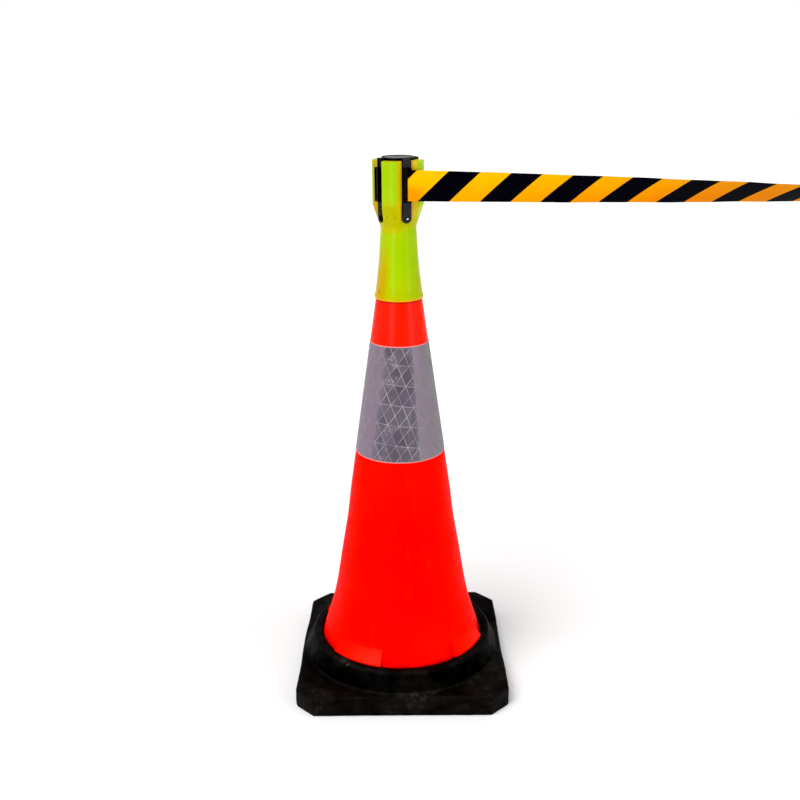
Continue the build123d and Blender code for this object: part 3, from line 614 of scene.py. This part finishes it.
def collar_material():
    m = Mat("reflective_sheet")
    uv = m.uv("sheet")
    u0, v0, _ = m.xyz(uv)
    u0 = m.math("MULTIPLY", u0, 100.0)  # millimetres on the flat sheet
    v0 = m.math("MULTIPLY", v0, 100.0)
    tilt = math.radians(6.8)
    u = m.math("ADD", m.math("MULTIPLY", u0, math.cos(tilt)), m.math("MULTIPLY", v0, -math.sin(tilt)))
    v = m.math("ADD", m.math("MULTIPLY", u0, math.sin(tilt)), m.math("MULTIPLY", v0, math.cos(tilt)))
    u = m.math("ADD", m.math("MULTIPLY_ADD", v, -0.043, u), 14.6)
    v = m.math("ADD", v, 0.9)
    step, row = 19.2, 33.6
    k = step / row
    c1 = m.math("MULTIPLY_ADD", v, k, u)
    c2 = m.math("MULTIPLY_ADD", v, -k, u)
    across = math.cos(math.atan(k))

    def seal(c, period, share, width):
        d = m.math("MULTIPLY", m.math("PINGPONG", c, period / 2), share)
        return m.ramp(d, width / 2 + 0.22, width / 2 - 0.22)

    lines = m.math("MAXIMUM", seal(c1, step, across, 1.02), seal(c2, step, across, 1.02))
    lines = m.math("MAXIMUM", lines, seal(v, row, 1.0, 1.02))
    # the seals fade where the film lies hard on the prisms
    fade = m.ramp(m.noise(m.scale(uv, (3.0, 3.0, 1.0)), 1.0, 3.0), 0.36, 0.60, 0.35, 1.0)
    lines = m.math("MULTIPLY", lines, fade)
    # painted sheen: the film is left clear in three windows round the cone and painted pale between them, for the
    # bright reflection on its flanks
    x, y, z = m.xyz(m.co)
    turn = m.math("ARCTAN2", x, m.math("MULTIPLY", y, -1.0))
    cloud = m.noise(m.scale(uv, (2.2, 2.2, 1.0)), 1.0, 4.0, 0.6)
    ragged = m.noise(m.scale(uv, (7.0, 5.0, 1.0)), 1.0, 5.0, 0.7)
    wander = m.math("MULTIPLY_ADD", m.math("SUBTRACT", ragged, 0.5), 0.36, m.math("MULTIPLY", m.math("SUBTRACT", cloud, 0.5), 0.30))
    # the windows lean a little, as the sheet was wound on at a slant
    lean = m.ramp(v0, 70.0, -70.0, -0.03, 0.11, kind="LINEAR")
    seam = math.radians(SEAM_AZ)
    window = None
    for centre in (3.0, 125.0, 232.0):
        off = m.math("PINGPONG", m.math("ADD", m.math("ADD", turn, lean), 4 * math.pi - math.radians(centre)), math.pi)
        window = off if window is None else m.math("MINIMUM", window, off)
    lapped = m.math("MULTIPLY", m.ramp(turn, seam - 0.012, seam + 0.012), m.ramp(turn, seam + 0.9, seam + 0.6))
    painted_sheen = m.math("MAXIMUM", m.ramp(m.math("ADD", window, wander), 0.42, 0.70), lapped)
    # painted sheen beside the lap, more so towards the top
    lap_sheen = m.math("MULTIPLY", m.ramp(m.math("MULTIPLY_ADD", wander, 0.3, turn), seam - 0.17, seam - 0.02), m.ramp(turn, seam + 0.9, seam + 0.6))
    painted_sheen = m.math("MAXIMUM", painted_sheen, m.math("MULTIPLY", lap_sheen, m.ramp(v0, -60.0, 50.0, 0.30, 0.72, kind="LINEAR")))
    cell = m.combine(
        m.math("FLOOR", m.math("DIVIDE", c1, step)),
        m.math("FLOOR", m.math("DIVIDE", c2, step)),
        m.math("FLOOR", m.math("DIVIDE", v, row)),
    )
    tone = m.white(cell)
    col = m.mix(m.ramp(tone, 0.0, 1.0, kind="LINEAR"), (0.068, 0.057, 0.076), (0.110, 0.094, 0.124))
    col = m.mix(m.ramp(cloud, 0.40, 0.72, 0.0, 0.5), col, (0.112, 0.102, 0.114))
    crease = m.noise(m.scale(uv, (9.0, 1.2, 1.0)), 1.0, 4.0, 0.6)
    col = m.mix(m.ramp(crease, 0.56, 0.74, 0.0, 0.40), col, (0.190, 0.175, 0.198))
    col = m.mix(m.math("MULTIPLY", lines, 0.95), col, (0.330, 0.280, 0.340))
    # painted glints along wrinkles where the film has lifted
    wrinkle_glint = m.noise(m.scale(uv, (13.0, 13.0, 1.0)), 1.0, 2.0, 0.5, 1.6)
    wrinkle_glint = m.ramp(m.math("ABSOLUTE", m.math("SUBTRACT", wrinkle_glint, 0.5)), 0.045, 0.012)
    lifted = m.ramp(m.noise(m.shift(m.scale(uv, (4.2, 4.2, 1.0)), (3.7, 1.3, 0.0)), 1.0, 1.0), 0.60, 0.68)
    for cu, cv, size in ((19.0, 84.0, 13.0), (-14.0, 37.0, 13.0), (27.0, -72.0, 17.0), (-34.0, 40.0, 10.0), (38.0, 10.0, 11.0)):
        du, dv = m.math("SUBTRACT", u0, cu), m.math("SUBTRACT", v0, cv)
        d = m.math("SQRT", m.math("ADD", m.math("MULTIPLY", du, du), m.math("MULTIPLY", dv, dv)))
        lifted = m.math("MAXIMUM", lifted, m.ramp(d, size, size * 0.4))
    col = m.mix(m.math("MULTIPLY", m.math("MULTIPLY", wrinkle_glint, lifted), 0.60), col, (0.330, 0.290, 0.310))
    grain = m.noise(m.scale(uv, (1.6, 0.45, 1.0)), 1.0, 5.0, 0.6)
    # the tone of the painted sheen, greener furthest from the clear windows
    pale = m.math("MAXIMUM", m.ramp(window, 0.98, 1.36), m.math("MULTIPLY", lapped, m.ramp(turn, 0.78, 1.12)))
    green = m.math("ADD", pale, m.math("MULTIPLY", m.math("SUBTRACT", grain, 0.5), 0.8), clamp=True)
    sheen_tone = m.mix(green, (0.200, 0.154, 0.197), (0.186, 0.186, 0.183))
    # lilac patches in the painted sheen
    sheen_mottle = m.noise(m.shift(m.scale(uv, (5.0, 2.4, 1.0)), (1.7, 4.1, 0.0)), 1.0, 4.0, 0.6)
    sheen_tone = m.mix(m.ramp(sheen_mottle, 0.50, 0.66, 0.0, 0.55), sheen_tone, (0.204, 0.152, 0.226))
    # grey patches in the painted sheen
    sheen_tone = m.mix(m.ramp(sheen_mottle, 0.44, 0.32, 0.0, 0.50), sheen_tone, (0.166, 0.148, 0.160))
    sheen_tone = m.mix(lapped, sheen_tone, m.mix(0.32, sheen_tone, (0.208, 0.180, 0.204)))
    # the painted sheen laid over the cells and seals
    col = m.mix(m.math("MULTIPLY", painted_sheen, m.math("MULTIPLY_ADD", lapped, 0.11, 0.84)), col, sheen_tone)
    # the seals can still be made out under the painted sheen
    through = m.math("MULTIPLY", m.math("MULTIPLY", lines, painted_sheen), m.math("MULTIPLY_ADD", lapped, -0.07, 0.26))
    col = m.mix(through, col, (0.290, 0.230, 0.310))
    # the cut end of the lapped sheet
    lip = m.ramp(m.math("ABSOLUTE", m.math("SUBTRACT", turn, seam - 0.02)), 0.050, 0.025)
    col = m.mix(m.math("MULTIPLY", lip, 0.65), col, (0.228, 0.212, 0.226))
    # mottled and drawn into faint upright streaks by wear
    mottle = m.noise(m.scale(uv, (9.0, 6.0, 1.0)), 1.0, 4.0, 0.7)
    drawn = m.noise(m.scale(uv, (16.0, 1.1, 1.0)), 1.0, 3.0, 0.6)
    worn = m.nt.nodes.new("ShaderNodeHueSaturation")
    patchy = m.math("ADD", m.ramp(mottle, 0.3, 0.7, -0.09, 0.07, kind="LINEAR"), m.ramp(drawn, 0.3, 0.7, -0.05, 0.05, kind="LINEAR"))
    m.put(worn.inputs["Value"], m.math("MULTIPLY_ADD", patchy, m.math("MULTIPLY_ADD", lapped, -0.15, 1.0), 1.0))
    m.put(worn.inputs["Color"], col)
    col = worn.outputs[0]
    # welded rims at the top and bottom
    rim = m.math("MAXIMUM", m.ramp(z, COLLAR_Z0 + 0.0021, COLLAR_Z0 + 0.0014), m.ramp(z, COLLAR_Z1 - 0.0021, COLLAR_Z1 - 0.0014))
    col = m.mix(rim, col, (0.56, 0.22, 0.23))
    m.set(Base_Color=col)
    m.set(Metallic=m.math("MULTIPLY", m.math("SUBTRACT", 1.0, rim), m.math("MULTIPLY_ADD", lines, -0.10, 0.12)))
    m.set(Roughness=m.math("ADD", m.ramp(tone, 0.0, 1.0, 0.46, 0.56, kind="LINEAR"), m.math("MULTIPLY", lines, 0.10)))
    m.bsdf.inputs["Specular IOR Level"].default_value = 0.20
    m.bsdf.inputs["Coat Weight"].default_value = 0.05
    m.bsdf.inputs["Coat Roughness"].default_value = 0.35
    prism = m.voronoi(m.combine(u, v, 0.0), 1.6)
    relief = m.math("MULTIPLY_ADD", lines, -0.6, m.math("MULTIPLY", prism, 0.05))
    wave = m.noise(m.scale(uv, (2.6, 2.6, 1.0)), 1.0, 2.0)
    m.set(Normal=m.bump(relief, 0.5, 0.00012, m.bump(wave, 0.18, 0.0008)))
    return m.mat


def webbing_material(name, run):
    m = Mat(name)
    uv = m.uv("web")
    s, v, _ = m.xyz(uv)
    s = m.math("MULTIPLY", s, 100.0)  # millimetres along the belt
    v = m.math("MULTIPLY", v, 100.0)  # and across it, from the middle
    web_s = s
    if run:
        # bands keep their width as the run shortens: measured from the outlet, along the run
        reach = m.nt.nodes.new("ShaderNodeVectorMath")
        reach.operation = "DOT_PRODUCT"
        m.put(reach.inputs[0], m.co)
        m.put(reach.inputs[1], tuple(D2))
        s = m.math("MULTIPLY", m.math("SUBTRACT", reach.outputs["Value"], float(RUN_0 @ D2)), 1000.0)
    period, duty, lean, first = 101.5, 0.507, 49.6, 11.4
    yarn = m.noise(m.combine(m.math("MULTIPLY", s, 0.9), m.math("MULTIPLY", v, 2.2), 0.0), 1.0, 2.0)
    along = m.math("SUBTRACT", s, m.math("MULTIPLY_ADD", v, lean / 48.0, lean / 2 + first))
    along = m.math("MULTIPLY_ADD", m.math("SUBTRACT", yarn, 0.5), 0.7, along)
    # distance into the dark band, positive inside
    place = m.math("MODULO", m.math("ADD", m.math("MODULO", along, period), period), period)
    dark = m.math("MULTIPLY", m.ramp(place, -0.01, 0.5, kind="LINEAR"),
                  m.ramp(place, period * duty + 0.25, period * duty - 0.25, kind="LINEAR"))
    drift = m.noise(m.combine(m.math("MULTIPLY", s, 0.02), m.math("MULTIPLY", v, 0.05), 0.0), 1.0, 3.0)
    # painted shade: the gold is painted more orange along the run and low near the mouth, for the web twisting away
    # from the light; it also runs more orange towards the lower edge
    warm_and_shade = m.math("ADD", m.ramp(web_s, 60.0, 560.0, 0.0, 0.70, kind="LINEAR"), m.ramp(v, 20.0, -24.0, 0.0, 0.52, kind="LINEAR"))
    warm_and_shade = m.math("ADD", warm_and_shade, m.math("MULTIPLY", m.ramp(web_s, 30.0, 8.0, 0.0, 0.35), m.ramp(v, 8.0, -12.0)))
    warm_and_shade = m.math("MULTIPLY_ADD", m.math("SUBTRACT", drift, 0.5), 0.25, warm_and_shade, clamp=True)
    gold = m.mix(warm_and_shade, (0.93, 0.500, 0.0030), (0.86, 0.235, 0.0018))
    # painted shade: darker towards the clip end
    gold = m.mix(m.ramp(web_s, 330.0, 640.0, 0.0, 0.40), gold, (0.46, 0.150, 0.0080))
    black = m.mix(m.ramp(drift, 0.3, 0.7), (0.0018, 0.0018, 0.0036), (0.0026, 0.0026, 0.0046))
    col = m.mix(dark, gold, black)
    # twill: fine ribs along the belt, crossed by slanted picks
    rib = m.math("ABSOLUTE", m.math("SINE", m.math("MULTIPLY", v, math.pi / 0.62)))
    pick = m.math("SINE", m.math("MULTIPLY_ADD", s, 2 * math.pi / 1.15,
                                 m.math("MULTIPLY", m.math("FLOOR", m.math("DIVIDE", v, 0.62)), math.pi / 2)))
    weave = m.math("MULTIPLY_ADD", pick, 0.22, rib)
    shade = m.ramp(weave, 0.0, 1.1, 0.84, 1.0, kind="LINEAR")
    hsv = m.nt.nodes.new("ShaderNodeHueSaturation")
    m.put(hsv.inputs["Value"], shade)
    m.put(hsv.inputs["Color"], col)
    m.set(Base_Color=hsv.outputs[0])
    m.set(Roughness=m.math("MULTIPLY_ADD", dark, -0.10, 0.62))
    m.bsdf.inputs["Specular IOR Level"].default_value = 0.04
    m.set(Normal=m.bump(weave, 0.45, 0.00012))
    return m.mat


def black_material(name, rough, gloss, grey=(0.0075, 0.0075, 0.0086), outlet=None):
    m = Mat(name)
    drift = m.noise(m.co, 70.0, 4.0, 0.6)
    col = m.mix(m.ramp(drift, 0.35, 0.7), tuple(g * 0.7 for g in grey), grey)
    hand = m.noise(m.co, 34.0, 5.0, 0.62, 0.5)
    if outlet:
        # painted highlight: the arm that the belt leaves from is painted a paler bluish grey along its middle
        x, y, z = m.xyz(m.co)
        turn = m.math("ARCTAN2", x, m.math("MULTIPLY", y, -1.0))
        off = m.math("MULTIPLY", m.math("ABSOLUTE", m.math("SUBTRACT", turn, math.radians(ARM_AZ))), 0.0326)
        rubbed = m.math("MULTIPLY", m.ramp(off, 0.0078, 0.0050), m.ramp(hand, 0.25, 0.60, 0.65, 1.0))
        col = m.mix(rubbed, col, outlet)
    col = m.mix(m.ramp(hand, 0.54, 0.74, 0.0, 0.30), col, (0.018, 0.017, 0.024))
    m.set(Base_Color=col)
    m.set(Roughness=m.ramp(hand, 0.3, 0.7, rough - 0.06, rough + 0.08))
    m.bsdf.inputs["Specular IOR Level"].default_value = gloss
    grain = m.noise(m.co, 1500.0, 3.0, 0.6)
    m.set(Normal=m.bump(grain, 0.22, 0.00008))
    return m.mat


def metal_material(name, tint, rough, brushed=(1.0, 1.0, 1.0)):
    m = Mat(name)
    wear = m.noise(m.co, 320.0, 4.0, 0.6)
    col = m.mix(m.ramp(wear, 0.3, 0.7), tuple(t * 0.78 for t in tint), tint)
    m.set(Base_Color=col)
    m.bsdf.inputs["Metallic"].default_value = 1.0
    line = m.noise(m.scale(m.co, tuple(b * 900.0 for b in brushed)), 1.0, 3.0)
    m.set(Roughness=m.ramp(line, 0.3, 0.7, rough - 0.07, rough + 0.10))
    m.set(Normal=m.bump(line, 0.12, 0.00004))
    return m.mat


def nylon_material():
    m = Mat("natural_nylon")
    drift = m.noise(m.co, 60.0, 4.0)
    m.set(Base_Color=m.mix(drift, (0.70, 0.68, 0.60), (0.80, 0.79, 0.73)))
    m.set(Roughness=m.ramp(m.noise(m.co, 200.0, 3.0), 0.3, 0.7, 0.36, 0.50))
    m.bsdf.inputs["Specular IOR Level"].default_value = 0.45
    m.set(Normal=m.bump(m.noise(m.co, 900.0, 2.0), 0.12, 0.00005))
    return m.mat


def roll_material():
    """The wound belt seen on edge: thin dark and gold layers."""
    m = Mat("belt_roll")
    x, y, z = m.xyz(m.co)
    r = m.math("SQRT", m.math("ADD", m.math("MULTIPLY", x, x), m.math("MULTIPLY", y, y)))
    layer = m.math("SINE", m.math("MULTIPLY", r, 2 * math.pi / 0.0005))
    turn = m.noise(m.scale(m.co, (160.0, 160.0, 20.0)), 1.0, 3.0)
    col = m.mix(m.ramp(turn, 0.47, 0.53), (0.004, 0.004, 0.005), (0.86, 0.42, 0.003))
    m.set(Base_Color=m.mix(m.ramp(layer, -1.0, 1.0, 0.0, 0.35), col, (0.01, 0.008, 0.004)))
    m.bsdf.inputs["Roughness"].default_value = 0.7
    m.set(Normal=m.bump(layer, 0.4, 0.0002))
    return m.mat


# the last colour is the painted highlight on the outlet arm
BLACK = black_material("black_plastic", 0.44, 0.06, (0.0048, 0.0042, 0.0036), (0.0250, 0.0220, 0.0290))
# painted shade: the receiver blocks and the belt mouth get a darker copy of the black plastic
BLOCK_SHADED = black_material("block_plastic_shaded", 0.48, 0.07, (0.0030, 0.0027, 0.0024))
CAP = black_material("cap_plastic", 0.24, 0.25, (0.0100, 0.0085, 0.0062))
CLIP = black_material("clip_plastic", 0.44, 0.22, (0.0050, 0.0050, 0.0060))
ZINC = metal_material("zinc_steel", (0.78, 0.77, 0.73), 0.28)


def screw_material():
    """Blackened pan heads, worn bright round the driver recess."""
    m = Mat("blackened_screw")
    x, y, z = m.xyz(m.co)
    turn = m.math("ARCTAN2", x, m.math("MULTIPLY", y, -1.0))
    off = m.math("PINGPONG", m.math("ADD", turn, 2 * math.pi - math.radians(ARM_AZ)), math.pi / 4)
    across = m.math("MULTIPLY", off, 0.0335)
    height = m.math("SUBTRACT", z, 0.8117)
    d = m.math("SQRT", m.math("ADD", m.math("MULTIPLY", across, across), m.math("MULTIPLY", height, height)))
    ragged = m.math("MULTIPLY", m.math("SUBTRACT", m.noise(m.co, 900.0, 3.0), 0.5), 0.0009)
    worn = m.ramp(m.math("ADD", d, ragged), 0.0017, 0.0011)
    m.set(Base_Color=m.mix(worn, (0.020, 0.020, 0.023), (0.58, 0.56, 0.48)))
    m.bsdf.inputs["Metallic"].default_value = 1.0
    m.set(Roughness=m.ramp(m.noise(m.co, 700.0, 3.0), 0.3, 0.7, 0.26, 0.42))
    m.set(Normal=m.bump(m.noise(m.co, 1500.0, 2.0), 0.15, 0.00004))
    return m.mat


SCREW = screw_material()
SPRING = metal_material("spring_steel", (0.34, 0.36, 0.42), 0.30, (0.2, 0.2, 3.0))
NYLON = nylon_material()
WEB = webbing_material("belt_webbing", False)
WEB_RUN = webbing_material("belt_webbing_run", True)


def give(obj, mat):
    obj.data.materials.clear()
    obj.data.materials.append(mat)


give(base_moulding, rubber_material())
give(collar_sheet, collar_material())
give(belt_web, WEB_RUN)
give(belt_lead_web, WEB)
give(NODES["cone_body"], cone_material())
give(NODES["topper_housing"], lime_material())
give(NODES["seat_ring"], rubber_material("seat_rubber", False))
give(NODES["top_cap"], CAP)
give(NODES["belt_roll"], roll_material())
for name in ("cassette_frame", "cassette_can"):
    give(NODES[name], BLACK)
for name in ("belt_mouth", "receiver_right", "receiver_rear", "receiver_left"):
    give(NODES[name], BLOCK_SHADED)
give(NODES["clip_body"], CLIP)
give(NODES["arm_screws"], SCREW)
for name in ("can_screws", "spindle", "clip_clamp", "clip_rivets"):
    give(NODES[name], ZINC)
for name in ("mainspring", "spindle_clip"):
    give(NODES[name], SPRING)
for name in ("spring_arbor", "thrust_washer", "spool_hub", "spool_flange_lower", "spool_flange_upper",
             "spring_cup", "bush_lower", "bush_upper"):
    give(NODES[name], NYLON)


# ----------------------------------------------------------------------- stage
def make_floor():
    n, size = 48, 14.0
    mesh = bpy.data.meshes.new("floor")
    bm = bmesh.new()
    ring = [bm.verts.new((size * math.cos(2 * math.pi * k / n), size * math.sin(2 * math.pi * k / n), -0.0006)) for k in range(n)]
    bm.faces.new(ring)
    bm.to_mesh(mesh)
    bm.free()
    floor = bpy.data.objects.new("floor", mesh)
    SCENE.collection.objects.link(floor)
    m = Mat("pale_floor")
    fleck = m.noise(m.co, 8.0, 3.0)
    x, y, _ = m.xyz(m.co)
    far = m.math("SQRT", m.math("ADD", m.math("MULTIPLY", x, x), m.math("MULTIPLY", y, y)))
    near = m.mix(fleck, (0.800, 0.800, 0.800), (0.812, 0.812, 0.812))
    m.set(Base_Color=m.mix(m.ramp(far, 0.7, 2.6), near, (0.95, 0.95, 0.95)))
    m.bsdf.inputs["Roughness"].default_value = 0.9
    m.bsdf.inputs["Specular IOR Level"].default_value = 0.1
    mesh.materials.append(m.mat)


def make_world():
    world = bpy.data.worlds.new("studio")
    SCENE.world = world
    world.use_nodes = True
    nt = world.node_tree
    nt.nodes.clear()
    out = nt.nodes.new("ShaderNodeOutputWorld")
    coord = nt.nodes.new("ShaderNodeTexCoord")
    sep = nt.nodes.new("ShaderNodeSeparateXYZ")
    nt.links.new(coord.outputs["Generated"], sep.inputs[0])

    def remap(x, lo, hi, a, b):
        node = nt.nodes.new("ShaderNodeMapRange")
        node.interpolation_type = "SMOOTHSTEP"
        nt.links.new(x, node.inputs["Value"])
        for key, value in (("From Min", lo), ("From Max", hi), ("To Min", a), ("To Max", b)):
            node.inputs[key].default_value = value
        return node.outputs["Result"]

    # a white room, open and dim on the side that the picture is taken from
    front = remap(sep.outputs[1], -0.50, -0.78, 0.0, 1.0)
    low = remap(sep.outputs[2], 0.62, 0.40, 0.0, 1.0)
    dim = nt.nodes.new("ShaderNodeMath")
    dim.operation = "MULTIPLY"
    nt.links.new(front, dim.inputs[0])
    nt.links.new(low, dim.inputs[1])
    tone = nt.nodes.new("ShaderNodeMix")
    tone.data_type = "RGBA"
    nt.links.new(dim.outputs[0], tone.inputs[0])
    tone.inputs[6].default_value = (1.0, 1.0, 1.0, 1.0)
    tone.inputs[7].default_value = (0.30, 0.30, 0.32, 1.0)
    room = nt.nodes.new("ShaderNodeBackground")
    nt.links.new(tone.outputs[2], room.inputs["Color"])
    room.inputs["Strength"].default_value = 0.62
    plain = nt.nodes.new("ShaderNodeBackground")
    plain.inputs["Color"].default_value = (1.0, 1.0, 1.0, 1.0)
    plain.inputs["Strength"].default_value = 1.0
    path = nt.nodes.new("ShaderNodeLightPath")
    pick = nt.nodes.new("ShaderNodeMixShader")
    nt.links.new(path.outputs["Is Camera Ray"], pick.inputs[0])
    nt.links.new(room.outputs[0], pick.inputs[1])
    nt.links.new(plain.outputs[0], pick.inputs[2])
    nt.links.new(pick.outputs[0], out.inputs["Surface"])


def softbox(name, place, aim, width, height, power):
    data = bpy.data.lights.new(name, "AREA")
    data.shape = "RECTANGLE"
    data.size, data.size_y = width, height
    data.energy = power
    lamp = bpy.data.objects.new(name, data)
    SCENE.collection.objects.link(lamp)
    lamp.location = place
    lamp.rotation_mode = "QUATERNION"
    lamp.rotation_quaternion = (Vector(aim) - Vector(place)).to_track_quat("-Z", "Y")


def soft_sun(name, azimuth, elevation, strength, angle):
    data = bpy.data.lights.new(name, "SUN")
    data.energy = strength
    data.angle = math.radians(angle)
    lamp = bpy.data.objects.new(name, data)
    SCENE.collection.objects.link(lamp)
    a, e = math.radians(azimuth), math.radians(elevation)
    toward = Vector((math.sin(a) * math.cos(e), -math.cos(a) * math.cos(e), math.sin(e)))
    lamp.location = toward * 4.0
    lamp.rotation_mode = "QUATERNION"
    lamp.rotation_quaternion = (-toward).to_track_quat("-Z", "Y")


make_floor()
make_world()
softbox("strip_left", (-1.25, -2.05, 0.80), (0.0, 0.0, 0.70), 0.40, 1.5, 12.0)
softbox("strip_right", (1.85, -1.50, 0.80), (0.0, 0.0, 0.70), 0.36, 1.5, 9.0)
soft_sun("key", -46.0, 58.0, 2.30, 38.0)
soft_sun("fill", 58.0, 28.0, 0.50, 60.0)
SCENE.view_settings.view_transform = "Standard"
SCENE.view_settings.look = "None"
# a slightly deeper black, as a finished studio picture has
SCENE.view_settings.use_curve_mapping = True
SCENE.view_settings.curve_mapping.black_level = (0.006, 0.006, 0.006)
SCENE.view_settings.curve_mapping.update()
